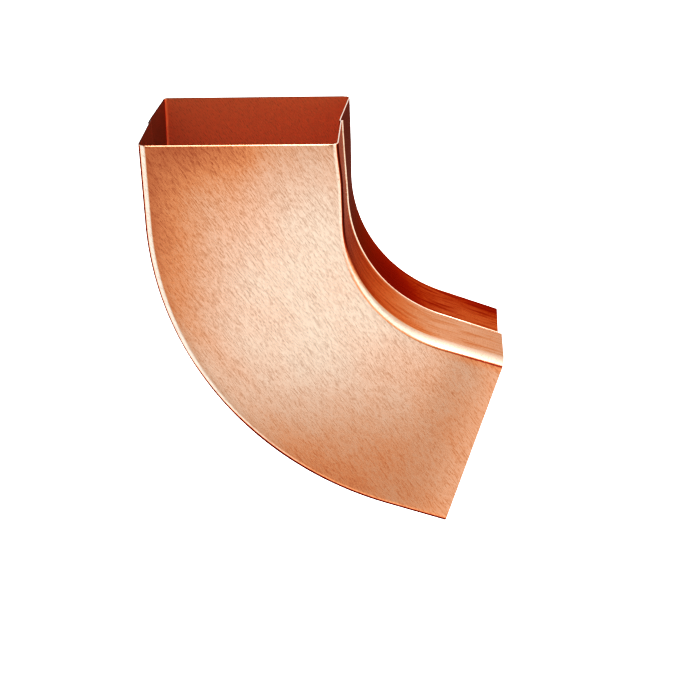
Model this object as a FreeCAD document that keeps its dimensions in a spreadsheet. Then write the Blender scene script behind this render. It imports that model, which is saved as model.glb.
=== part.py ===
import FreeCAD, Part
import math
import os
import Sketcher

# Plain rectangular downspout elbow that turns sideways, pressed from copper sheet as two halves of one size.
# They lap along the throat, where the front half lies outside, and along the heel, where it lies inside.
# Millimetres, +Z up. The origin is the centre of the inlet mouth, the outlet turns towards +X,
# the front cheek faces -Y, and the rear cheek faces the wall, +Y.

doc = FreeCAD.newDocument("downspout_elbow")

# Driving sizes
cells = [
    ("pipe_width", 101.6),       # the pipe that the inlet takes, measured along the wall
    ("pipe_depth", 76.2),        # the same pipe, measured out from the wall
    ("slip_clearance", 0.4),     # room between that pipe and the inlet, each side
    ("sheet_thickness", 0.55),   # sixteen-ounce copper
    ("solder_gap", 0.1),         # capillary gap in each lap
    ("corner_radius", 3.0),      # outside of the pressed corners
    ("bend_angle", 72.0),
    ("throat_radius", 72.5),     # outside of the front half's throat flange
    ("inlet_tail", 44.0),        # straight run before the bend
    ("outlet_tail", 32.0),       # straight run after the bend
    ("lap_width", 4.0),          # overlap of the two halves, along the throat and along the heel
    ("front_overrun", 2.0),      # how far the front half runs past the rear half at the outlet
    ("flange_clip", 1.6),        # cut-off corner of the front throat flange at the outlet
]

sizes = doc.addObject("Spreadsheet::Sheet", "sizes")
for row, (alias, value) in enumerate(cells, start=1):
    sizes.set("A%d" % row, str(value))
    sizes.setAlias("A%d" % row, alias)
doc.recompute()

# Sizes that follow from the driving ones
nest_inset = "(sizes.sheet_thickness + sizes.solder_gap)"
inner_width = "(sizes.pipe_width + 2 * sizes.slip_clearance)"
inner_depth = "(sizes.pipe_depth + 2 * sizes.slip_clearance)"
outer_width = f"({inner_width} + 2 * sizes.sheet_thickness + 2 * {nest_inset})"
outer_depth = f"({inner_depth} + 2 * sizes.sheet_thickness)"
flange_depth = f"(({outer_depth} + sizes.lap_width) / 2)"
front_edge = "(sizes.lap_width / 2)"
front_tail = "(sizes.outlet_tail + sizes.front_overrun)"

# Sketch points of a line or an arc, and the sketch's own origin and first axis
start, end, centre = 1, 2, 3
origin = -1
across_axis = -1


def length(expression):
    return expression + " * 1 mm"


def angle(expression):
    return expression + " * 1 deg"


def new_sketch(body, name, plane_role, offsets):
    sketch = body.newObject("Sketcher::SketchObject", name)
    plane = [feature for feature in body.Origin.OriginFeatures if feature.Role == plane_role][0]
    sketch.AttachmentSupport = [(plane, "")]
    sketch.MapMode = "FlatFace"
    for axis, expression in offsets.items():
        sketch.setExpression("AttachmentOffset.Base." + axis, length(expression))
    return sketch


def bind(sketch, name, expression, *constraint):
    index = sketch.addConstraint(Sketcher.Constraint(*constraint))
    sketch.renameConstraint(index, name)
    sketch.setExpression("Constraints." + name, expression)


# Names of a shape's flat faces that look one way, and of the edges round such faces.
def facing(shape, direction):
    flat = [(f"Face{number}", face) for number, face in enumerate(shape.Faces, start=1)
            if isinstance(face.Surface, Part.Plane)]
    return [name for name, face in flat if face.normalAt(0, 0).isEqual(direction, 1e-6)]


def edges_round(shape, faces):
    borders = [edge for name in faces for edge in shape.getElement(name).Edges]
    return [f"Edge{number}" for number, edge in enumerate(shape.Edges, start=1)
            if any(edge.isSame(border) for border in borders)]


turn = math.radians(sizes.bend_angle)
inlet_out = FreeCAD.Vector(0, 0, 1)
outlet_out = FreeCAD.Vector(math.sin(turn), 0, -math.cos(turn))


# Side view: inlet leg, bend and outlet leg, with the throat and the heel round one centre.
# The insets are how far the half's throat and heel walls stand inside the outermost ones.
def side_outline(body, offset, throat_inset, heel_inset, tail):
    sketch = new_sketch(body, body.Label + "_outline", "XZ_Plane", {"z": offset})
    half_width = sizes.pipe_width / 2
    throat_radius = sizes.throat_radius
    heel_radius = throat_radius + sizes.pipe_width
    down = FreeCAD.Vector(0, -sizes.inlet_tail, 0)
    out = FreeCAD.Vector(math.sin(turn), -math.cos(turn), 0) * sizes.outlet_tail
    across = FreeCAD.Vector(-math.cos(turn), -math.sin(turn), 0)
    throat_top = FreeCAD.Vector(half_width, 0, 0)
    heel_top = FreeCAD.Vector(-half_width, 0, 0)
    pivot = throat_top + down + FreeCAD.Vector(throat_radius, 0, 0)
    throat_turned = pivot + across * throat_radius
    heel_turned = pivot + across * heel_radius
    sketch_normal = FreeCAD.Vector(0, 0, 1)
    throat_circle = Part.Circle(pivot, sketch_normal, throat_radius)
    heel_circle = Part.Circle(pivot, sketch_normal, heel_radius)
    mouth, throat_leg, throat_bend, throat_end, outlet, heel_end, heel_bend, heel_leg = sketch.addGeometry([
        Part.LineSegment(heel_top, throat_top),
        Part.LineSegment(throat_top, throat_top + down),
        Part.ArcOfCircle(throat_circle, math.pi, math.pi + turn),
        Part.LineSegment(throat_turned, throat_turned + out),
        Part.LineSegment(throat_turned + out, heel_turned + out),
        Part.LineSegment(heel_turned + out, heel_turned),
        Part.ArcOfCircle(heel_circle, math.pi, math.pi + turn),
        Part.LineSegment(heel_top + down, heel_top),
    ])
    sketch.addConstraint([
        Sketcher.Constraint("Coincident", mouth, end, throat_leg, start),
        Sketcher.Constraint("Tangent", throat_leg, end, throat_bend, start),
        Sketcher.Constraint("Tangent", throat_bend, end, throat_end, start),
        Sketcher.Constraint("Coincident", throat_end, end, outlet, start),
        Sketcher.Constraint("Coincident", outlet, end, heel_end, start),
        Sketcher.Constraint("Tangent", heel_end, end, heel_bend, end),
        Sketcher.Constraint("Tangent", heel_leg, start, heel_bend, start),
        Sketcher.Constraint("Coincident", heel_leg, end, mouth, start),
        Sketcher.Constraint("Coincident", throat_bend, centre, heel_bend, centre),
        Sketcher.Constraint("Horizontal", mouth),
        Sketcher.Constraint("PointOnObject", mouth, start, across_axis),
        Sketcher.Constraint("Vertical", throat_leg),
        Sketcher.Constraint("Vertical", heel_leg),
        Sketcher.Constraint("Perpendicular", throat_end, outlet),
        Sketcher.Constraint("Parallel", throat_end, heel_end),
    ])
    bind(sketch, "throat_side", length(f"({outer_width} / 2 - {throat_inset})"),
         "DistanceX", origin, start, mouth, end, half_width)
    bind(sketch, "heel_side", length(f"({outer_width} / 2 - {heel_inset})"),
         "DistanceX", mouth, start, origin, start, half_width)
    bind(sketch, "inlet_leg", length("sizes.inlet_tail"), "Distance", throat_leg, sizes.inlet_tail)
    bind(sketch, "throat_bend", length(f"(sizes.throat_radius + {throat_inset})"),
         "Radius", throat_bend, throat_radius)
    bind(sketch, "bend", angle("sizes.bend_angle"), "Angle", throat_bend, turn)
    bind(sketch, "outlet_leg", length(tail), "Distance", throat_end, sizes.outlet_tail)
    return sketch


# A pressed half: the side outline drawn as deep as its flanges, rounded where the cheek turns into them,
# then hollowed to the sheet from the inlet, the outlet and the open side.
# cheek_out is +1 or -1, the way along Y that the cheek faces.
def pressed_half(label, cheek_out, throat_inset, heel_inset, tail):
    body = doc.addObject("PartDesign::Body", label)
    body.Label = label
    body.Placement = FreeCAD.Placement()
    cheek_normal = FreeCAD.Vector(0, cheek_out, 0)
    outline = side_outline(body, f"({-cheek_out} * {outer_depth} / 2)", throat_inset, heel_inset, tail)
    draw = body.newObject("PartDesign::Pad", label + "_draw")
    draw.Profile = outline
    draw.Reversed = cheek_out < 0
    draw.setExpression("Length", length(flange_depth))
    doc.recompute()

    shape = draw.Shape
    cut_ends = edges_round(shape, facing(shape, inlet_out) + facing(shape, outlet_out))
    corners = body.newObject("PartDesign::Fillet", label + "_corners")
    cheek_edges = edges_round(shape, facing(shape, cheek_normal))
    corners.Base = (draw, [name for name in cheek_edges if name not in cut_ends])
    corners.setExpression("Radius", length("sizes.corner_radius"))
    doc.recompute()

    shape = corners.Shape
    hollow = body.newObject("PartDesign::Thickness", label + "_hollow")
    mouths = facing(shape, inlet_out) + facing(shape, outlet_out)
    hollow.Base = (corners, mouths + facing(shape, -cheek_normal))
    hollow.Reversed = True
    hollow.Join = "Intersection"
    hollow.setExpression("Value", length("sizes.sheet_thickness"))
    doc.recompute()
    return body


front = pressed_half("front_half_shell", -1, "0", nest_inset, front_tail)
rear = pressed_half("rear_half_shell", 1, nest_inset, "0", "sizes.outlet_tail")

# Over the straight leg the front throat flange narrows, until it no longer laps the rear one at the inlet rim.
throat_face = f"({outer_width} / 2)"
relief_outline = new_sketch(front, "throat_relief_outline", "YZ_Plane", {"x": front_edge, "z": throat_face})
corner = FreeCAD.Vector(0, 0, 0)
along_rim = FreeCAD.Vector(-sizes.lap_width, 0, 0)
along_edge = FreeCAD.Vector(0, -sizes.inlet_tail, 0)
rim_side, slant, edge_side = relief_outline.addGeometry([
    Part.LineSegment(corner, along_rim),
    Part.LineSegment(along_rim, along_edge),
    Part.LineSegment(along_edge, corner),
])
relief_outline.addConstraint([
    Sketcher.Constraint("Coincident", rim_side, start, origin, start),
    Sketcher.Constraint("Coincident", rim_side, end, slant, start),
    Sketcher.Constraint("Coincident", slant, end, edge_side, start),
    Sketcher.Constraint("Coincident", edge_side, end, rim_side, start),
    Sketcher.Constraint("Horizontal", rim_side),
    Sketcher.Constraint("Vertical", edge_side),
])
bind(relief_outline, "relief", length("sizes.lap_width"), "Distance", rim_side, sizes.lap_width)
bind(relief_outline, "leg", length("sizes.inlet_tail"), "Distance", edge_side, sizes.inlet_tail)
relief = front.newObject("PartDesign::Pocket", "throat_relief_cut")
relief.Profile = relief_outline
relief.setExpression("Length", length("(2 * sizes.sheet_thickness)"))
doc.recompute()

# The corner where that flange's free edge meets the outlet is cut off.
shape = relief.Shape
outlet_edges = edges_round(shape, facing(shape, outlet_out))
free_edges = edges_round(shape, facing(shape, FreeCAD.Vector(0, 1, 0)))
flange_ends = [name for name in free_edges if name in outlet_edges]
throat_end = max(flange_ends, key=lambda name: shape.getElement(name).CenterOfMass.z)
clip = front.newObject("PartDesign::Chamfer", "flange_clip_cut")
clip.Base = (relief, [throat_end])
clip.setExpression("Size", length("sizes.flange_clip"))
doc.recompute()

halves = [front, rear]
for item in doc.Objects:
    if "Invalid" in item.State or "Error" in item.State:
        raise RuntimeError(f"{item.Name} failed: {item.State}")
for half in halves:
    if half.Shape.isNull() or not half.Shape.isValid():
        raise RuntimeError(f"{half.Label} is not a sound solid")

os.makedirs("parts", exist_ok=True)
for half in halves:
    half.Shape.exportStep(f"parts/{half.Label}.step")
    print(half.Label, round(half.Shape.Volume, 1), "mm3", half.Shape.optimalBoundingBox(True, False))
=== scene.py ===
import bpy
import math
from mathutils import Matrix, Vector


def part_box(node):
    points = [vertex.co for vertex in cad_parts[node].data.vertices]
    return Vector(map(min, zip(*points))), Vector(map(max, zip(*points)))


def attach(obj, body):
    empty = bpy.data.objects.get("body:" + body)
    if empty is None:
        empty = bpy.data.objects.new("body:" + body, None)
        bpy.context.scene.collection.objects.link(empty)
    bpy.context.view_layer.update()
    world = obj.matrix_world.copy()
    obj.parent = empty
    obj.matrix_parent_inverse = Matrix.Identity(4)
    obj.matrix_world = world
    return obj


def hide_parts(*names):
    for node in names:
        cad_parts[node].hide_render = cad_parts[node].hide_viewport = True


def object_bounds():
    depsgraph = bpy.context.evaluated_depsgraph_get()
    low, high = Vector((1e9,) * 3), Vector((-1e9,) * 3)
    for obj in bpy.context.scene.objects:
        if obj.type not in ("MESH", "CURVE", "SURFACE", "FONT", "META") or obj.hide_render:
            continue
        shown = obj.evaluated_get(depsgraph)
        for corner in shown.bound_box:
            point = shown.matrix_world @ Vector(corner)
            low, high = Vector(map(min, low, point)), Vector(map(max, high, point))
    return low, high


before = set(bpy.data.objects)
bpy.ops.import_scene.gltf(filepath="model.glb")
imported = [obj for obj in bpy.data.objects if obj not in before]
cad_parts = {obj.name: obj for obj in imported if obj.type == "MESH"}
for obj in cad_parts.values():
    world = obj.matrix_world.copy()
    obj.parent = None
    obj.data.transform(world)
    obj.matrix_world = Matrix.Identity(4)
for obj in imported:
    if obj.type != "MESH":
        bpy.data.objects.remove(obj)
cadLow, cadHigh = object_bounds()
print("frame loaded:", sorted(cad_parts))

mm = 0.001
close = 1e-6


# small helpers for working by hand in edit mode
def deselectAll():
    if bpy.context.mode != "OBJECT":
        bpy.ops.object.mode_set(mode="OBJECT")
    bpy.ops.object.select_all(action="DESELECT")


def makeActive(piece):
    deselectAll()
    piece.select_set(True)
    bpy.context.view_layer.objects.active = piece


def pickVerts(piece, test):
    bpy.ops.object.mode_set(mode="EDIT")
    bpy.ops.mesh.select_mode(type="VERT")
    bpy.ops.mesh.select_all(action="DESELECT")
    bpy.ops.object.mode_set(mode="OBJECT")
    for vertex in piece.data.vertices:
        vertex.select = test(vertex.co)
    bpy.ops.object.mode_set(mode="EDIT")


def pickEdges(piece, test):
    bpy.ops.object.mode_set(mode="EDIT")
    bpy.ops.mesh.select_mode(type="EDGE")
    bpy.ops.mesh.select_all(action="DESELECT")
    bpy.ops.object.mode_set(mode="OBJECT")
    points = piece.data.vertices
    for edge in piece.data.edges:
        first, second = edge.vertices
        edge.select = test(points[first].co, points[second].co)
    bpy.ops.object.mode_set(mode="EDIT")


def extrudeBy(move):
    bpy.ops.mesh.extrude_region_move(TRANSFORM_OT_translate={"value": move})


def addModifier(piece, kind, **settings):
    makeActive(piece)
    modifier = piece.modifiers.new(kind.title(), kind)
    for name, value in settings.items():
        setattr(modifier, name, value)
    bpy.ops.object.modifier_apply(modifier=modifier.name)


def ease(share):
    share = min(max(share, 0.0), 1.0)
    return share * share * (3 - 2 * share)


def past(distance, stretch):
    # 0 before a stretch and 1 after it; a stretch is where it starts and how long it is
    start, length = stretch
    return ease((distance - start) / length)


# the elbow's run, shared by both pressed halves
run = {
    "turn": math.radians(72.0),
    "throatRadius": 72.5 * mm,    # outside of the front throat flange
    "inletTail": 44.0 * mm,
    "throatSide": 52.4 * mm,      # outermost throat wall, from the inlet's centre
    "wallReach": 5 * mm,          # what lies this near to that wall is part of it
    "throatEnd": 100 * mm,        # from the pivot: at the outlet the throat is nearer, the heel farther
    "bendSteps": 72,
    "legSteps": 12,
}
pivot = Vector((run["throatSide"] + run["throatRadius"], 0, -run["inletTail"]))
outletFlow = Vector((math.sin(run["turn"]), 0, -math.cos(run["turn"])))

# the pressed sheet, and what hand work has done to it; stretches run along the throat, from the inlet rim
sheet = {
    "thickness": 0.55 * mm,
    "cornerRadius": 3.0 * mm,             # throat corners
    "cornerShare": (0.01, 0.95),          # in corner radii, where the cheek ends and where the flange starts
    "cornerSteps": 10,
    "cheekSteps": 24,
    "flangeSteps": 10,
    "edgeSteps": 3,
    "edgeAngle": math.radians(60),        # cut edges are dressed from this angle up
    "smoothAngle": math.radians(30),
    "lip": (0.7 * mm, 0.70 * mm),         # the outer flange's free edge turns up: how wide, how high
    "lipSteps": [(0.3, 0.15), (0.7, 0.85)],    # in two steps, as shares of that width and height
    "lipDrop": 0.65,                      # and lies flatter round the bend
    "lipDropRun": (50 * mm, 60 * mm),
    "lapEnd": 3 * mm,                     # the rear half is clear of the lap from here
    "rimTurn": (0.45 * mm, 0.28 * mm),    # the front rim's edge turns in: over what height, by how much
    "pinch": (1.5 * mm, 1.2 * mm),        # the throat wall stands in at the inlet rim: near corner, lap
    "pinchRun": (24.0 * mm, 54.0 * mm),
    "lean": (1.1 * mm, 2.0 * mm),         # and along the bend: lap, far corner at the outlet
    "leanRun": (25.0 * mm, 115.0 * mm),
    "droop": (0.9 * mm, 1.1 * mm),        # and at the outlet's end: lap, far corner
    "droopRun": (135.0 * mm, 25.0 * mm),
    "softRun": (50 * mm, 100 * mm),       # where the near corner softens
    "heelPinchRun": (65.0 * mm, 40.0 * mm),    # how far the heel's stand-in runs down and across
}

halves = {
    "frontHalf": {
        "node": "front_half_shell",
        "cheekOut": -1,               # the way along y that the cheek faces
        "outer": True,                # at the throat; at the heel this half lies inside
        "throatInset": 0.0,
        "tail": 34.0 * mm,            # straight run after the bend
        "relief": 4.0 * mm,           # the throat flange narrows by this to the inlet rim
        "clip": 1.6 * mm,             # and its corner at the outlet is cut off
        "heelRadius": 4.2 * mm,
        "heelPinch": 0.0,             # the heel wall stands in at the rim's far corner
        "softCorner": 5.5 * mm,       # how far the throat corner softens at the outlet
        "dressedEdge": 0.2 * mm,
        "rimLightAndShade": 0.45,               # how pale the rim is: painted highlight, or painted shade below 0
        "flangeLightAndShade": (0.02, 0.80),    # and painted light and shade on the throat flange: at the rim, at the outlet
        "cornerGlow": 0.0,            # and painted highlight beside its corner, round the bend
        "seamShade": 1.1,           # how much painted shade darkens that flange along both sides
    },
    "rearHalf": {
        "node": "rear_half_shell",
        "cheekOut": 1,
        "outer": False,
        "throatInset": 0.65 * mm,     # a sheet and the solder gap
        "tail": 32.0 * mm,
        "relief": 0.0,
        "clip": 0.0,
        "heelRadius": 1.8 * mm,
        "heelPinch": 2.0 * mm,
        "softCorner": 0.0,
        "dressedEdge": 0.06 * mm,
        "rimLightAndShade": -2.0,
        "flangeLightAndShade": (-1.4, -0.38),
        "cornerGlow": 0.6,
        "seamShade": 0.0,
    },
}


def measureHalf(half):
    # where the half's walls lie, from its node
    low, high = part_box(half["node"])
    half["heelX"] = low.x
    half["throatX"] = run["throatSide"] - half["throatInset"]
    half["cheekY"], half["freeY"] = (low.y, high.y) if half["cheekOut"] < 0 else (high.y, low.y)
    half["toFree"] = -half["cheekOut"]
    half["flangeDepth"] = abs(half["freeY"] - half["cheekY"])


def throatPlace(point):
    # how far along the throat a point lies from the rim, and the way out of the wall there
    if point.z > pivot.z:
        return -point.z, Vector((1, 0, 0))
    angle = math.atan2(pivot.z - point.z, pivot.x - point.x)
    if angle > run["turn"]:
        angle = run["turn"]
    along = run["inletTail"] + run["throatRadius"] * angle
    if angle == run["turn"]:
        along += (point - pivot).dot(outletFlow)
    return along, Vector((math.cos(angle), 0, math.sin(angle)))


def onThroat(point):
    if point.z > pivot.z:
        return point.x > run["throatSide"] - run["wallReach"]
    across = Vector((pivot.x - point.x, 0, pivot.z - point.z))
    out = Vector((math.cos(run["turn"]), 0, math.sin(run["turn"])))
    distance = across.dot(out) if across.cross(out).y > 0 else across.length
    return distance < run["throatRadius"] + run["wallReach"]


def freeEdge(half, point):
    # the throat flange's free edge, which draws back to the rim by the relief
    return half["freeY"] - half["toFree"] * half["relief"] * max(1 + point.z / run["inletTail"], 0)


def formThroat(piece, half):
    # hand-formed sheet: the throat wall stands in a little, at the inlet rim and towards the outlet's
    # far corner, the near corner softens towards the outlet, and the lip lies down
    lipWidth, lipHeight = sheet["lip"]
    nearRun, lapRun = sheet["pinchRun"]
    leanStart, leanLength = sheet["leanRun"]
    for vertex in piece.data.vertices:
        if not onThroat(vertex.co):
            continue
        along, out = throatPlace(vertex.co)
        atEnd = past(along, sheet["droopRun"])
        leaning = min(max((along - leanStart) / leanLength, 0.0), 1.0)
        near = sheet["pinch"][0] * (1 - ease(along / nearRun))
        lap = sheet["lean"][0] + sheet["pinch"][1] * (1 - ease(along / lapRun)) + sheet["droop"][0] * atEnd
        far = sheet["lean"][1] * leaning + sheet["droop"][1] * atEnd
        fromLap = min(max(vertex.co.y / (cadHigh.y - sheet["cornerRadius"]), -1.0), 1.0)
        side = near if fromLap < 0 else far
        inward = lap + (side - lap) * abs(fromLap)
        if half["outer"]:
            onLip = max(1 - abs(vertex.co.y - freeEdge(half, vertex.co)) / lipWidth, 0)
            inward += lipHeight * sheet["lipDrop"] * onLip * past(along, sheet["lipDropRun"])
        depth = abs(vertex.co.y - half["cheekY"])
        level = depth / sheet["cornerRadius"]
        if level > 1:
            level = 1 - (depth - sheet["cornerRadius"]) / (half["flangeDepth"] - sheet["cornerRadius"])
        vertex.co -= out * inward
        vertex.co.y += half["toFree"] * half["softCorner"] * level * past(along, sheet["softRun"])


def formHeel(piece, half):
    # the heel wall stands in too, at the rim's far corner
    down, across = sheet["heelPinchRun"]
    for vertex in piece.data.vertices:
        atRim = 1 - ease(-vertex.co.z / down)
        atHeel = 1 - ease((vertex.co.x - half["heelX"]) / across)
        fromLap = max(vertex.co.y - sheet["lapEnd"], 0) / (cadHigh.y - sheet["lapEnd"])
        vertex.co.x += half["heelPinch"] * atRim * atHeel * fromLap


def turnRim(piece, half):
    # the last of the front cheek bends in to a bright edge
    height, inward = sheet["rimTurn"]
    for vertex in piece.data.vertices:
        if half["outer"] and vertex.co.z > -height and abs(vertex.co.y - half["cheekY"]) < close:
            vertex.co.y -= half["cheekOut"] * inward * (1 + vertex.co.z / height)


# wear and painted light, from here on: above 0, how pale the copper is painted, partly rubbed by handling
# and partly painted highlight; below 0, how brown, partly tarnished and partly painted shade
cheekWearAndLight = {
    # pale ovals, partly wear and partly painted highlight: centre in x and z, half length, half widths to
    # the heel and to the outlet, turn, strength
    "ovals": [
        ((34 * mm, -82 * mm), 110 * mm, 76 * mm, 110 * mm, math.radians(78), 0.9),
        ((-12 * mm, -140 * mm), 60 * mm, 30 * mm, 30 * mm, math.radians(-52), 0.6),
    ],
    "ovalEdge": 1.2,                      # where an oval has faded out, in its own half widths
    "outletPale": 0.20,                    # how pale the outlet's end is
    "outletRun": (-30 * mm, 60 * mm),     # from the bend's end, towards the outlet
    "paintedShade": 0.3,                       # how brown the sheet is away from the ovals, partly its tone and partly painted shade
    "tarnishReach": (0.95, 0.4),
    "tarnishEnd": (-70 * mm, 70 * mm),
    "rimShade": 0.28,                   # and painted shade in a strip under the rim, between heel and throat
    "rimDown": (0.0, 30 * mm),
    "rimStart": (-50 * mm, 30 * mm),
    "rimEnd": (-5 * mm, 50 * mm),
}


def cheekTone(point):
    towardsOutlet = (point - pivot).dot(outletFlow)
    tone = cheekWearAndLight["outletPale"] * past(towardsOutlet, cheekWearAndLight["outletRun"])
    reaches = []
    for centre, length, heelwards, outletwards, turn, strength in cheekWearAndLight["ovals"]:
        flat = Matrix.Rotation(-turn, 2) @ (Vector((point.x, point.z)) - Vector(centre))
        reach = math.hypot(flat.x / length, flat.y / (heelwards if flat.y > 0 else outletwards))
        tone = max(tone, strength * ease(cheekWearAndLight["ovalEdge"] - reach))
        reaches.append(reach)
    apart = past(min(reaches), cheekWearAndLight["tarnishReach"])
    tone -= cheekWearAndLight["paintedShade"] * apart * (1 - past(towardsOutlet, cheekWearAndLight["tarnishEnd"]))
    underRim = (1 - past(-point.z, cheekWearAndLight["rimDown"])) * past(point.x, cheekWearAndLight["rimStart"])
    return tone - cheekWearAndLight["rimShade"] * underRim * (1 - past(point.x, cheekWearAndLight["rimEnd"]))


throatLightAndShade = {
    "end": (115 * mm, 40 * mm),           # where the outlet's end starts
    "flangeRun": (95 * mm, 60 * mm),      # the flange changes tone towards the outlet
    "glowRise": (25 * mm, 40 * mm),       # the painted highlight beside the far corner
    "glowFall": (125 * mm, 20 * mm),
    "glowLoss": 1.9,                      # and how far it turns to painted shade at the outlet's end
    "glowFocus": 3,
    "shade": (1.1, 0.7),                  # beside the near corner: at most, and how much of it fades
    "shadeRise": (12 * mm, 20 * mm),
    "shadeFall": (70 * mm, 40 * mm),
    "shadeFocus": 4,
    "seamFall": (50 * mm, 60 * mm),       # the shade under the lip
    "seamFocus": 2,
    "underLapShadow": (-2.0, 0.7),              # painted shadow where the rear flange goes under: at the rim, and its gain
    "underLapRun": (80 * mm, 30 * mm),
    "cornerHighlight": 0.85,                    # painted highlight on the corners, on the cheek's side
    "creaseShare": 0.06,                  # painted shade along a crease beside the cheek, in corner radii
    "crease": (1.0, 1.1),                 # how dark it is round the bend, and at the outlet's end
    "creaseRun": (45 * mm, 40 * mm),
    "endCreaseShade": 0.45,                    # and painted shade on the cheek's own edge there
    "cornerShadeFall": (40 * mm, 50 * mm),      # where the corner's painted shade ends
    # painted highlights on the throat's rim and on the lip
    "rimLightAndShade": 0.9,
    "lipHighlight": 1.0,
}
heelLightAndShade = {
    "lap": (-2 * mm, 1 * mm),             # the heel lap shows as a line: where, and how far to each side
    "lapTone": (0.5, -1.6),               # painted highlight on the rear half's free edge, and painted shade on the front half beside it
    "cornerHighlight": (1.8, -0.1),             # painted highlight on the corners, on the cheek's side: up the inlet leg, and low down
    "cornerFall": (120 * mm, 90 * mm),    # below the rim
    "lowDown": (85 * mm, 95 * mm),
    "lowShift": 0.19,                     # low down the painted shade is wider
    "lowShade": 0.3,                    # and darker
    # painted shade along the heel's rim
    "rimShade": -2.0,
}
cornerShade = {
    "paintedShade": -1.7,                      # painted shade on every corner, on the flange's side
    "middle": 0.27,                       # where the corner turns to painted shade, in corner radii, and over how much
    "width": 0.08,
}


def throatFlangeTone(point, half, along):
    atEnd = past(along, throatLightAndShade["end"])
    fromFree = abs(point.y - half["freeY"]) / half["flangeDepth"]
    start, finish = half["flangeLightAndShade"]
    tone = start + (finish - start) * past(along, throatLightAndShade["flangeRun"])
    glow = past(along, throatLightAndShade["glowRise"]) * (1 - past(along, throatLightAndShade["glowFall"]))
    glow -= throatLightAndShade["glowLoss"] * atEnd
    tone += half["cornerGlow"] * glow * fromFree ** throatLightAndShade["glowFocus"]
    most, fading = throatLightAndShade["shade"]
    shade = past(along, throatLightAndShade["shadeRise"]) * (most - fading * past(along, throatLightAndShade["shadeFall"]))
    tone -= half["seamShade"] * shade * (1 - atEnd) * fromFree ** throatLightAndShade["shadeFocus"]
    underLip = (1 - fromFree) ** throatLightAndShade["seamFocus"] * (1 - past(along, throatLightAndShade["seamFall"]))
    tone -= half["seamShade"] * underLip
    # painted shadow on the rear flange under the lap
    if not half["outer"] and point.y < sheet["lapEnd"]:
        darkest, gain = throatLightAndShade["underLapShadow"]
        tone = darkest + gain * past(along, throatLightAndShade["underLapRun"])
    return tone


def throatCornerTone(half, along, fromCheek):
    atEnd = past(along, throatLightAndShade["end"])
    tone = throatLightAndShade["cornerHighlight"]
    if fromCheek < throatLightAndShade["creaseShare"]:
        roundBend, atOutlet = throatLightAndShade["crease"]
        tone -= roundBend * past(along, throatLightAndShade["creaseRun"]) + atOutlet * atEnd
    brown = ease((fromCheek - cornerShade["middle"]) / cornerShade["width"] + 0.5)
    brown *= 1 - past(along, throatLightAndShade["cornerShadeFall"]) + (0 if half["outer"] else atEnd)
    return tone + (cornerShade["paintedShade"] - tone) * brown


def heelFlangeTone(point, half):
    place, near = heelLightAndShade["lap"]
    edge, beside = heelLightAndShade["lapTone"]
    if abs(point.y - place) < near:
        return beside if half["outer"] else edge
    return 0.0


def heelCornerTone(point, fromCheek):
    lowDown = past(-point.z, heelLightAndShade["lowDown"])
    upper, lower = heelLightAndShade["cornerHighlight"]
    tone = upper + (lower - upper) * past(-point.z, heelLightAndShade["cornerFall"])
    outward = fromCheek - cornerShade["middle"] + heelLightAndShade["lowShift"] * lowDown
    brown = ease(outward / cornerShade["width"] + 0.5)
    return tone + (cornerShade["paintedShade"] - heelLightAndShade["lowShade"] * lowDown - tone) * brown


# painted shade on the inside, darkest on the heel wall and the far rim, with painted highlight in the
# corners: what is left of the colour
insideShade = {
    "wall": 0.9,
    "heel": 0.28,
    "corner": 1.15,
    "rearCheek": (1.02, 0.26),            # at the rim, and what it loses down the leg as painted shade
    "rearCheekRun": (15 * mm, 45 * mm),
    "rearRim": 0.15,
}


def insideTone(point, half, throat, fromCheek):
    cheekEnd, flangeStart = sheet["cornerShare"]
    if not half["outer"] and point.z > -close:
        return insideShade["rearRim"]
    if cheekEnd < fromCheek < flangeStart:
        return insideShade["corner"]
    if not half["outer"] and fromCheek < cheekEnd:
        atRim, loss = insideShade["rearCheek"]
        return atRim - loss * past(-point.z, insideShade["rearCheekRun"])
    return insideShade["wall"] if throat or fromCheek < cheekEnd else insideShade["heel"]


def outsideTone(point, half, throat, along, fromCheek):
    cheekEnd, flangeStart = sheet["cornerShare"]
    if point.z > -close:
        if throat:
            return throatLightAndShade["rimLightAndShade"]
        return half["rimLightAndShade"] if fromCheek < 0.5 else heelLightAndShade["rimShade"]
    if half["outer"] and throat and abs(point.y - freeEdge(half, point)) < sheet["lip"][0] + 10 * close:
        return throatLightAndShade["lipHighlight"]
    if fromCheek < cheekEnd:
        atOutlet = past(along, throatLightAndShade["end"]) if throat else 0.0
        return cheekTone(point) - throatLightAndShade["endCreaseShade"] * atOutlet
    if fromCheek > flangeStart:
        return throatFlangeTone(point, half, along) if throat else heelFlangeTone(point, half)
    return throatCornerTone(half, along, fromCheek) if throat else heelCornerTone(point, fromCheek)


def paintWearAndLight(piece, half):
    layers = piece.data.attributes
    # outside: wear with painted highlight and shade; inside: painted shade and highlight
    layers.new("wearAndLight", "FLOAT", "POINT")
    layers.new("innerLightAndShade", "FLOAT", "POINT")
    layers.new("flow", "FLOAT_VECTOR", "POINT")    # along, across, and 1 on a throat flange
    for vertex in piece.data.vertices:
        point = vertex.co
        throat = onThroat(point)
        along = throatPlace(point)[0]
        fromCheek = abs(point.y - half["cheekY"]) / (sheet["cornerRadius"] if throat else half["heelRadius"])
        onFlange = 1 if throat and fromCheek > sheet["cornerShare"][1] else 0
        layers["wearAndLight"].data[vertex.index].value = outsideTone(point, half, throat, along, fromCheek)
        layers["innerLightAndShade"].data[vertex.index].value = insideTone(point, half, throat, fromCheek)
        layers["flow"].data[vertex.index].vector = (along, point.y, onFlange)


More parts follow.
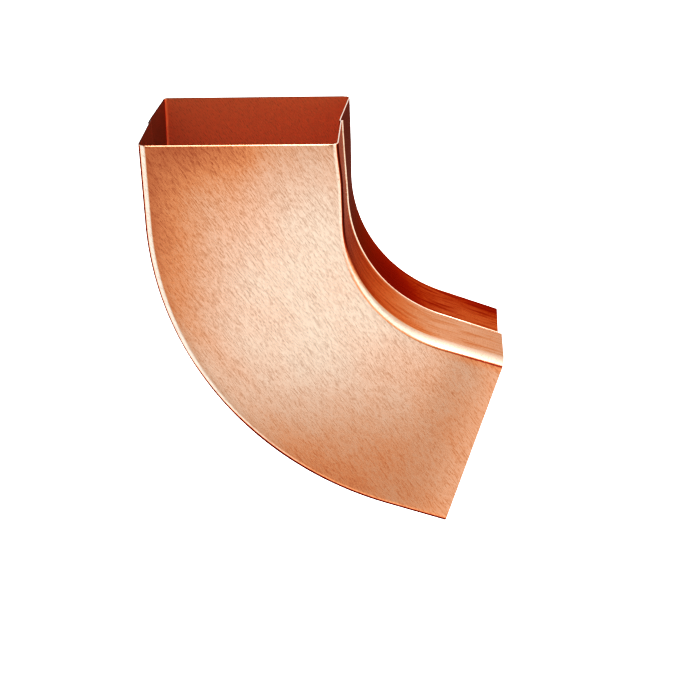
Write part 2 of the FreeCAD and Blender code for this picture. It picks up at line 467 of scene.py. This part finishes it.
def drawMouth(name, half):
    # the mouth's U: heel flange, cheek and throat flange, open on the free side
    cheekY, freeY, toFree = half["cheekY"], half["freeY"], half["toFree"]
    throatX, heelX = half["throatX"], half["heelX"]
    deselectAll()
    bpy.ops.mesh.primitive_plane_add(size=1, location=(0, 0, 0))
    piece = bpy.context.object
    piece.name = name
    piece.data.name = name
    bpy.ops.object.mode_set(mode="EDIT")
    bpy.ops.transform.resize(value=(throatX - heelX, half["flangeDepth"], 1))
    bpy.ops.transform.translate(value=((throatX + heelX) / 2, (freeY + cheekY) / 2, 0))
    bpy.ops.mesh.delete(type="ONLY_FACE")
    pickEdges(piece, lambda a, b: abs(a.y - freeY) < close and abs(b.y - freeY) < close)
    bpy.ops.mesh.delete(type="EDGE_FACE")
    for side, radius in ((1, sheet["cornerRadius"]), (-1, half["heelRadius"])):
        pickVerts(piece, lambda p: abs(p.y - cheekY) < close and p.x * side > 0)
        bpy.ops.mesh.bevel(offset=radius, segments=sheet["cornerSteps"], profile=0.5, affect="VERTICES")

    # strips across the cheek and the flanges, with one more row in the rear half beside the lap
    pickEdges(piece, lambda a, b: abs(a.y - b.y) < close and abs(a.y - cheekY) < close)
    bpy.ops.mesh.subdivide(number_cuts=sheet["cheekSteps"] - 1)
    lipWidth, lipHeight = sheet["lip"]
    if half["outer"]:
        pickVerts(piece, lambda p: abs(p.y - freeY) < close and p.x > 0)
        bpy.ops.transform.translate(value=(0, -toFree * lipWidth, 0))
    pickEdges(piece, lambda a, b: max(abs(a.y - freeY), abs(b.y - freeY)) > half["flangeDepth"] / 2
              and abs(a.x - b.x) < close)
    bpy.ops.mesh.subdivide(number_cuts=sheet["flangeSteps"] - 1)
    flangeStep = (half["flangeDepth"] - sheet["cornerRadius"]) / sheet["flangeSteps"]
    if not half["outer"]:
        pickEdges(piece, lambda a, b: a.x > 0 and abs(a.x - b.x) < close
                  and 0.5 < min(abs(a.y - freeY), abs(b.y - freeY)) / flangeStep < 1.5)
        bpy.ops.mesh.subdivide(number_cuts=1)

    # the outer flange's free edge turns up to a lip
    if half["outer"]:
        pickVerts(piece, lambda p: abs(p.y - freeY + toFree * lipWidth) < close and p.x > 0)
        for widthShare, heightShare in sheet["lipSteps"]:
            extrudeBy((lipHeight * heightShare, toFree * lipWidth * widthShare, 0))
    return piece


def sweepRun(half):
    # down the inlet leg, round the bend and out along the outlet leg
    bpy.ops.mesh.select_all(action="SELECT")
    extrudeBy((0, 0, -run["inletTail"]))
    bpy.ops.mesh.spin(steps=run["bendSteps"], angle=run["turn"], center=pivot, axis=(0, 1, 0))
    extrudeBy(outletFlow * half["tail"])
    bpy.ops.mesh.select_all(action="SELECT")
    bpy.ops.mesh.remove_doubles(threshold=close)


def trimSheet(piece, half):
    # the throat flange narrows to the rim by the relief
    throatX = half["throatX"]
    bendY = half["cheekY"] - half["cheekOut"] * sheet["cornerRadius"]
    if half["relief"]:
        pickVerts(piece, lambda p: abs(p.z) < close and p.x > throatX - close)
        share = 1 - half["relief"] / abs(half["freeY"] - bendY)
        bpy.ops.transform.resize(value=(1, share, 1), center_override=(throatX, bendY, 0))

    # rows down the inlet leg, and one close under the rim
    legStep = run["inletTail"] / run["legSteps"]
    pickEdges(piece, lambda a, b: abs(abs(a.z - b.z) - run["inletTail"]) < close)
    bpy.ops.mesh.subdivide(number_cuts=run["legSteps"] - 1)
    pickEdges(piece, lambda a, b: max(a.z, b.z) > -close and abs(abs(a.z - b.z) - legStep) < close)
    bpy.ops.mesh.subdivide(number_cuts=1)
    pickVerts(piece, lambda p: abs(p.z + legStep / 2) < close)
    bpy.ops.transform.translate(value=(0, 0, legStep / 2 - sheet["rimTurn"][0]))

    # the flange's corner at the outlet is cut off
    if half["clip"]:
        end = pivot + outletFlow * half["tail"]
        pickVerts(piece, lambda p: abs((p - end).dot(outletFlow)) < close
                  and abs(p.y - half["freeY"]) < close and (p - pivot).length < run["throatEnd"])
        bpy.ops.mesh.bevel(offset=half["clip"], segments=1, affect="VERTICES")


def faceOutwards(piece, half):
    bpy.ops.mesh.select_all(action="SELECT")
    bpy.ops.mesh.normals_make_consistent(inside=False)
    bpy.ops.object.mode_set(mode="OBJECT")
    cheek = max(piece.data.polygons, key=lambda face: face.center.y * half["cheekOut"])
    if cheek.normal.y * half["cheekOut"] < 0:
        bpy.ops.object.mode_set(mode="EDIT")
        bpy.ops.mesh.flip_normals()
        bpy.ops.object.mode_set(mode="OBJECT")


def pressedHalf(name, half, materials):
    measureHalf(half)
    piece = drawMouth(name, half)
    sweepRun(half)
    trimSheet(piece, half)
    faceOutwards(piece, half)
    paintWearAndLight(piece, half)
    turnRim(piece, half)
    formThroat(piece, half)
    formHeel(piece, half)
    for material in materials:
        piece.data.materials.append(material)
    addModifier(piece, "SOLIDIFY", thickness=sheet["thickness"], offset=-1, use_even_offset=True,
                material_offset=1, material_offset_rim=2)
    addModifier(piece, "BEVEL", width=half["dressedEdge"], segments=sheet["edgeSteps"],
                limit_method="ANGLE", angle_limit=sheet["edgeAngle"])
    for vertex in piece.data.vertices:      # nothing stands out of the frame's box
        for axis in range(3):
            vertex.co[axis] = min(max(vertex.co[axis], cadLow[axis]), cadHigh[axis])
    makeActive(piece)
    bpy.ops.object.shade_smooth_by_angle(angle=sheet["smoothAngle"])
    deselectAll()
    print(name, "pressed:", len(piece.data.polygons), "faces, box",
          [[round(v / mm, 3) for v in corner] for corner in (piece.bound_box[0], piece.bound_box[6])])
    return piece


# copper, mill finish: satin, with short diagonal rolling marks
copper = {
    "pale": (0.925, 0.700, 0.535, 1),     # rubbed by handling, and painted highlight
    "warm": (0.910, 0.350, 0.180, 1),     # as rolled
    "brown": (0.340, 0.048, 0.019, 1),    # painted shade in the crease lines and under the lap, and brown tone
    "inside": (0.920, 0.350, 0.165, 1),   # inside, never handled
    "fresh": (0.960, 0.780, 0.680, 1),    # cut edges, and painted highlight on corners past freshFrom
    "freshFrom": 1.2,
    "shadedEdge": (0.050, 0.015, 0.009, 1),     # painted shade on the far cut edges
    "dark": (0, 0, 0, 1),
    "grazing": (1.0, 0.38, 0.23, 1),      # the colour stays in glancing reflections
    "roughness": 0.25,
    "insideRoughness": 0.50,
    "roughnessSpread": (0.08, -0.04),     # between the marks, and in them
    "creaseShade": 0.12,                      # painted shade: what is left of the colour in the darkest crease lines
    "creaseEdges": (-2.0, -1.0),
    "grainTurn": math.radians(57),        # rolling marks run down to the right on the front cheek
    "grainSize": (3.2 * mm, 0.35 * mm, 0.35 * mm),
    "grainEdges": (0.36, 0.60),           # between which levels of the noise a mark grows
    "fineSize": (1.6 * mm, 0.26 * mm, 0.26 * mm),
    "fineEdges": (0.34, 0.66),
    "grainShare": 0.42,
    "scratchSize": (12 * mm, 0.7 * mm, 0.7 * mm),
    "scratchEdges": (0.32, 0.50),
    "scratchShare": 0.16,
    "markTone": (-0.2, 0.15),             # what the marks add to the wear
    "fleck": 0.70,                        # what is left of the colour between them
    "fleckEdges": (0.1, 0.6),
    "markRise": 0.35,                     # and how strongly they stand up
    "markHeight": 0.02 * mm,
    "bloomSize": (45 * mm, 30 * mm, 30 * mm),
    "bloomEdges": (0.35, 0.65),
    "bloomTone": (-0.10, 0.10),
    "smudgeSize": (24 * mm, 2.4 * mm, 1000),     # along and across the throat flanges
    "smudgeEdges": (0.48, 0.68),
    "smudge": 0.34,
    "smudgeDepth": 0.82,                  # what is left of the colour in them
    "nickSize": (0.6 * mm, 0.6 * mm, 0.6 * mm),  # on the cut edges
    "nickEdges": (0.3, 0.7),
    "nickTone": (-0.1, 0.1),
    "nickRoughness": (0.42, 0.28),
    "noiseRoughness": 0.55,
    "cloudDetail": 2.0,                   # in the blooms, smudges and nicks; the marks have none
}
grow = (0.0, 1.0)
shrink = (1.0, 0.0)


def newMaterial(name):
    material = bpy.data.materials.new(name)
    material.use_nodes = True
    tree = material.node_tree
    tree.nodes.clear()
    output = tree.nodes.new("ShaderNodeOutputMaterial")
    shader = tree.nodes.new("ShaderNodeBsdfPrincipled")
    tree.links.new(shader.outputs["BSDF"], output.inputs["Surface"])
    return material, tree, shader


def attribute(tree, name):
    node = tree.nodes.new("ShaderNodeAttribute")
    node.attribute_name = name
    return node


def stretchedNoise(tree, coordinate, size, detail=0.0, turn=copper["grainTurn"]):
    mapping = tree.nodes.new("ShaderNodeMapping")
    mapping.vector_type = "TEXTURE"
    mapping.inputs["Rotation"].default_value = (0, turn, 0)
    mapping.inputs["Scale"].default_value = size
    noise = tree.nodes.new("ShaderNodeTexNoise")
    noise.inputs["Scale"].default_value = 1.0
    noise.inputs["Detail"].default_value = detail
    noise.inputs["Roughness"].default_value = copper["noiseRoughness"]
    tree.links.new(coordinate, mapping.inputs["Vector"])
    tree.links.new(mapping.outputs["Vector"], noise.inputs["Vector"])
    return noise.outputs["Fac"]


def ranged(tree, value, source, target):
    node = tree.nodes.new("ShaderNodeMapRange")
    node.inputs["From Min"].default_value, node.inputs["From Max"].default_value = source
    node.inputs["To Min"].default_value, node.inputs["To Max"].default_value = target
    tree.links.new(value, node.inputs["Value"])
    return node.outputs["Result"]


def combined(tree, operation, first, second):
    node = tree.nodes.new("ShaderNodeMath")
    node.operation = operation
    tree.links.new(first, node.inputs[0])
    if isinstance(second, float):
        node.inputs[1].default_value = second
    else:
        tree.links.new(second, node.inputs[1])
    return node.outputs["Value"]


def mixedColour(tree, share, first, second):
    node = tree.nodes.new("ShaderNodeMixRGB")
    for socket, value in (("Fac", share), ("Color1", first), ("Color2", second)):
        if isinstance(value, tuple):
            node.inputs[socket].default_value = value
        else:
            tree.links.new(value, node.inputs[socket])
    return node.outputs["Color"]


def rollingMarks(tree, place):
    grain = ranged(tree, stretchedNoise(tree, place, copper["grainSize"]), copper["grainEdges"], grow)
    fine = ranged(tree, stretchedNoise(tree, place, copper["fineSize"]), copper["fineEdges"], grow)
    scratch = ranged(tree, stretchedNoise(tree, place, copper["scratchSize"]), copper["scratchEdges"], grow)
    marks = combined(tree, "MULTIPLY", combined(tree, "ADD", grain, fine), copper["grainShare"])
    return combined(tree, "ADD", marks, combined(tree, "MULTIPLY", scratch, copper["scratchShare"]))


def flangeSmudges(tree):
    flow = attribute(tree, "flow").outputs["Vector"]
    onFlange = tree.nodes.new("ShaderNodeSeparateXYZ")
    tree.links.new(flow, onFlange.inputs["Vector"])
    smudge = stretchedNoise(tree, flow, copper["smudgeSize"], copper["cloudDetail"], turn=0)
    smudge = ranged(tree, smudge, copper["smudgeEdges"], grow)
    return combined(tree, "MULTIPLY", smudge, onFlange.outputs["Z"])


def copperSheet(name, colours, roughness, inside):
    brown, warm, pale = colours
    material, tree, shader = newMaterial(name)
    place = tree.nodes.new("ShaderNodeTexCoord").outputs["Object"]
    wearAndLight = attribute(tree, "wearAndLight").outputs["Fac"]
    marks = rollingMarks(tree, place)
    bloom = stretchedNoise(tree, place, copper["bloomSize"], copper["cloudDetail"])
    bloom = ranged(tree, bloom, copper["bloomEdges"], copper["bloomTone"])
    smudge = flangeSmudges(tree)

    # the wear with painted highlight and shade, brown to warm to pale, with the marks in it
    tone = combined(tree, "ADD", ranged(tree, marks, grow, copper["markTone"]), bloom)
    tone = combined(tree, "ADD", tone, wearAndLight)
    tone = combined(tree, "SUBTRACT", tone, combined(tree, "MULTIPLY", smudge, copper["smudge"]))
    sheen = mixedColour(tree, combined(tree, "ADD", tone, 1.0), brown, warm)
    sheen = mixedColour(tree, tone, sheen, pale)
    if inside:
        # inside, painted shade and highlight from its own attribute
        left = attribute(tree, "innerLightAndShade").outputs["Fac"]
    else:
        # painted highlight: tone past freshFrom turns to the fresh colour
        bare = combined(tree, "SUBTRACT", tone, copper["freshFrom"])
        sheen = mixedColour(tree, bare, sheen, copper["fresh"])
        # painted shade where the tone is darkest
        left = ranged(tree, wearAndLight, copper["creaseEdges"], (copper["creaseShade"], 1.0))
    depth = ranged(tree, marks, copper["fleckEdges"], (copper["fleck"], 1.0))
    depth = combined(tree, "MULTIPLY", depth, left)
    depth = combined(tree, "MULTIPLY", depth, ranged(tree, smudge, grow, (1.0, copper["smudgeDepth"])))
    tree.links.new(mixedColour(tree, depth, copper["dark"], sheen), shader.inputs["Base Color"])

    # satin, rougher between the marks
    duller, brighter = copper["roughnessSpread"]
    satin = ranged(tree, marks, grow, (roughness + duller, roughness + brighter))
    tree.links.new(satin, shader.inputs["Roughness"])
    shader.inputs["Metallic"].default_value = 1.0
    shader.inputs["Specular Tint"].default_value = copper["grazing"]
    bump = tree.nodes.new("ShaderNodeBump")
    bump.inputs["Strength"].default_value = copper["markRise"]
    bump.inputs["Distance"].default_value = copper["markHeight"]
    tree.links.new(marks, bump.inputs["Height"])
    tree.links.new(bump.outputs["Normal"], shader.inputs["Normal"])
    return material


def cutEdge():
    material, tree, shader = newMaterial("cutEdge")
    place = tree.nodes.new("ShaderNodeTexCoord").outputs["Object"]
    nicks = stretchedNoise(tree, place, copper["nickSize"], copper["cloudDetail"])
    bright = ranged(tree, nicks, copper["nickEdges"], copper["nickTone"])
    # painted highlight on the front and throat rims and painted shade on the far rims, from the wear
    # attribute
    bright = combined(tree, "ADD", bright, attribute(tree, "wearAndLight").outputs["Fac"])
    tree.links.new(mixedColour(tree, bright, copper["shadedEdge"], copper["fresh"]), shader.inputs["Base Color"])
    satin = ranged(tree, nicks, copper["nickEdges"], copper["nickRoughness"])
    tree.links.new(satin, shader.inputs["Roughness"])
    shader.inputs["Metallic"].default_value = 1.0
    return material


outsideColours = (copper["brown"], copper["warm"], copper["pale"])
insideColours = (copper["inside"], copper["inside"], copper["inside"])
sheetMaterials = [
    copperSheet("copperOutside", outsideColours, copper["roughness"], inside=False),
    copperSheet("copperInside", insideColours, copper["insideRoughness"], inside=True),
    cutEdge(),
]
print("materials made:", [material.name for material in sheetMaterials])
for name, half in halves.items():
    shell = pressedHalf(name, half, sheetMaterials)
    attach(shell, "root")
    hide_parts(half["node"])

# pale floor, well below the part
floorSettings = {
    "height": -0.62,
    "side": 30.0,
    "colour": (0.92, 0.92, 0.92, 1),
    "roughness": 0.9,
    "glowColour": (1, 1, 1, 1),
    "glow": 1.0,
}
deselectAll()
bpy.ops.mesh.primitive_plane_add(size=floorSettings["side"], location=(0, 0, floorSettings["height"]))
floor = bpy.context.object
floor.name = "floor"
floorMaterial, floorTree, floorShader = newMaterial("paleFloor")
floorShader.inputs["Base Color"].default_value = floorSettings["colour"]
floorShader.inputs["Roughness"].default_value = floorSettings["roughness"]
floorShader.inputs["Emission Color"].default_value = floorSettings["glowColour"]
floorShader.inputs["Emission Strength"].default_value = floorSettings["glow"]
floor.data.materials.append(floorMaterial)
floor.visible_glossy = False
print("floor laid")

# soft studio light: where each softbox hangs, what it looks at, its size, and its brightness
studio = {
    "overheadSoftbox": {
        "place": (0.1, -0.1, 1.1), "target": (0.04, 0, -0.1), "size": (1.2, 0.9), "bright": 7.0,
    },
    "frontSoftbox": {
        "place": (0.0, -0.95, 0.80), "target": (0.0, 0, 0), "size": (0.8, 0.5), "bright": 1.8,
    },
    "lowFrontCard": {
        "place": (0.0, -0.50, -0.275), "target": (0.04, -0.04, -0.09), "size": (0.22, 0.19), "bright": 0.66,
    },
}
for name, light in studio.items():
    lamp = bpy.data.lights.new(name, "AREA")
    lamp.shape = "RECTANGLE"
    lamp.size, lamp.size_y = light["size"]
    lamp.energy = light["bright"] * math.pi * lamp.size * lamp.size_y
    holder = bpy.data.objects.new(name, lamp)
    bpy.context.scene.collection.objects.link(holder)
    holder.location = light["place"]
    aim = Vector(light["target"]) - Vector(light["place"])
    holder.rotation_euler = aim.to_track_quat("-Z", "Y").to_euler()

# the room that the copper mirrors: a white table, dimmer before the camera, dark round the horizon,
# a pale ceiling and side, and behind the part a wall that pales upwards, dim in its low right corner
room = {
    "table": 1.35,
    "tableEdges": (-0.15, 0.1),           # where the table gives way to the horizon, going up
    "cameraSide": 0.60,
    "cameraWay": (-0.10, -0.90, -0.42),
    "cameraEdges": (0.90, 0.975),
    "horizon": 0.12,
    "ceiling": 2.0,
    "ceilingEdges": (0.22, 0.8),
    "side": 1.7,
    "sideEdges": (0.2, 0.55),
    "wall": (0.45, 0.95),
    "wallEdges": (-0.4, 0.5),
    "wallStart": (0.2, 0.5),              # going back
    "wallCorner": 0.42,
    "cornerAcross": (0.0, 0.17),
    "cornerUp": (-0.35, -0.1),
}
world = bpy.data.worlds.new("studioRoom")
bpy.context.scene.world = world
world.use_nodes = True
tree = world.node_tree
background = tree.nodes["Background"]
way = tree.nodes.new("ShaderNodeTexCoord").outputs["Generated"]
split = tree.nodes.new("ShaderNodeSeparateXYZ")
tree.links.new(way, split.inputs["Vector"])
facing = tree.nodes.new("ShaderNodeVectorMath")
facing.operation = "DOT_PRODUCT"
tree.links.new(way, facing.inputs[0])
facing.inputs[1].default_value = Vector(room["cameraWay"]).normalized()
toRight, toBack, upward = split.outputs["X"], split.outputs["Y"], split.outputs["Z"]


def blended(share, first, second):
    node = tree.nodes.new("ShaderNodeMix")
    for socket, value in (("Factor", share), ("A", first), ("B", second)):
        tree.links.new(value, node.inputs[socket])
    return node.outputs["Result"]


table = ranged(tree, facing.outputs["Value"], room["cameraEdges"], (room["table"], room["cameraSide"]))
above = ranged(tree, upward, room["ceilingEdges"], (room["horizon"], room["ceiling"]))
beside = ranged(tree, toRight, room["sideEdges"], (0.0, room["side"]))
beside = combined(tree, "MAXIMUM", above, beside)
before = blended(ranged(tree, upward, room["tableEdges"], grow), table, beside)
wall = combined(tree, "MAXIMUM", ranged(tree, upward, room["wallEdges"], room["wall"]), above)
corner = ranged(tree, toRight, room["cornerAcross"], (0.0, room["wallCorner"]))
corner = combined(tree, "MULTIPLY", corner, ranged(tree, upward, room["cornerUp"], shrink))
wall = combined(tree, "MULTIPLY", wall, ranged(tree, corner, grow, shrink))
mirrored = blended(ranged(tree, toBack, room["wallStart"], grow), before, wall)
seen = tree.nodes.new("ShaderNodeMix")      # the camera itself sees plain white
tree.links.new(tree.nodes.new("ShaderNodeLightPath").outputs["Is Camera Ray"], seen.inputs["Factor"])
tree.links.new(mirrored, seen.inputs["A"])
seen.inputs["B"].default_value = 1.0
tree.links.new(seen.outputs["Result"], background.inputs["Strength"])
background.inputs["Color"].default_value = (1, 1, 1, 1)

# the photograph's tones: full whites, and deep, saturated darks
tones = [(0.06, 0.028), (0.12, 0.075), (0.2, 0.16), (0.3, 0.28), (0.45, 0.45)]
viewSettings = bpy.context.scene.view_settings
viewSettings.view_transform = "Standard"
viewSettings.use_curve_mapping = True
allColours = viewSettings.curve_mapping.curves[3]
for place in tones:
    allColours.points.new(*place)
viewSettings.curve_mapping.update()
print("studio lit:", len(studio), "softboxes")

# the photograph's view
view = {
    "eye": (0.1222, -0.8742, 0.2968),
    "yaw": math.radians(5.159),
    "pitch": math.radians(25.770),
    "roll": math.radians(-2.239),
    "lens": 93.66,
    "sensor": 36.0,
    "nearest": 0.01,
}
cameraData = bpy.data.cameras.new("camera")
cameraData.lens = view["lens"]
cameraData.sensor_width = view["sensor"]
cameraData.sensor_fit = "HORIZONTAL"
cameraData.clip_start = view["nearest"]
camera = bpy.data.objects.new("camera", cameraData)
bpy.context.scene.collection.objects.link(camera)
turned = Matrix.Rotation(view["yaw"], 4, "Z") @ Matrix.Rotation(math.pi / 2 - view["pitch"], 4, "X")
camera.matrix_world = Matrix.Translation(view["eye"]) @ turned @ Matrix.Rotation(view["roll"], 4, "Z")
bpy.context.scene.camera = camera
print("camera set")
